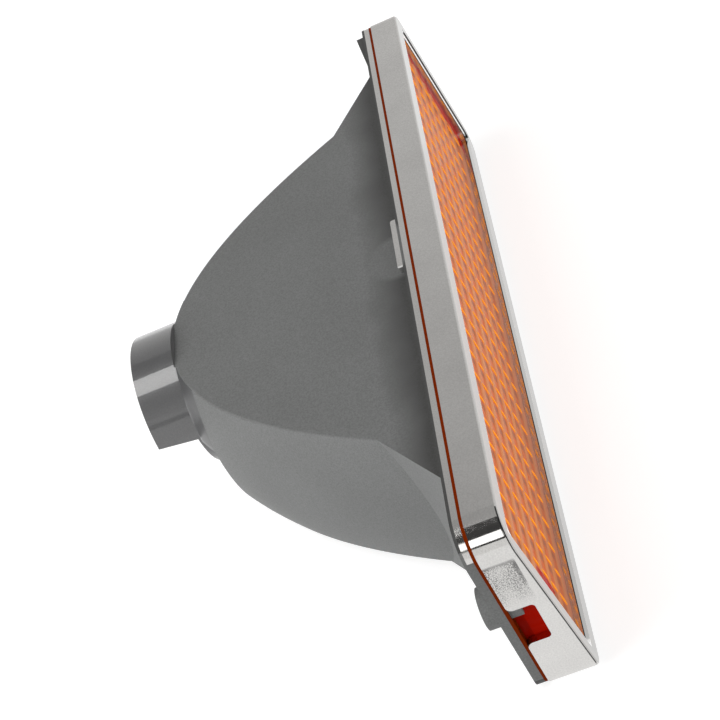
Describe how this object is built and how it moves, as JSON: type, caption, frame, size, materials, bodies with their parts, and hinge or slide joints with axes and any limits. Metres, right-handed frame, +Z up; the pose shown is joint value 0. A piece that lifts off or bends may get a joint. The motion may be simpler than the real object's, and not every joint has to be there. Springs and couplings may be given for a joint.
{
  "type": "vehicle parking light",
  "caption": "Long slim vehicle parking light: amber ribbed lens in a bright sloping bezel, on a moulded reflector housing with a bayonet socket collar and rain hood.",
  "frame": {"origin": "midway between the two rear screw bosses, in the plane of their rear faces", "axes": "+X along the lamp's length, +Y to the rear along the axis of the socket bore, +Z up towards the rain hood and the bright strip"},
  "size_m": [0.21, 0.0906, 0.052],
  "materials": {
    "bright_bezel": "dull bright plating",
    "amber_lens": "clear amber, fluted inside",
    "grey_housing": "matt moulded, fine grain",
    "bright_strip": "dull bright plating"
  },
  "bodies": {
    "root": {"bezel": "bright_bezel", "lens": "amber_lens", "housing": "grey_housing", "strip": "bright_strip"}
  },
  "joints": []
}
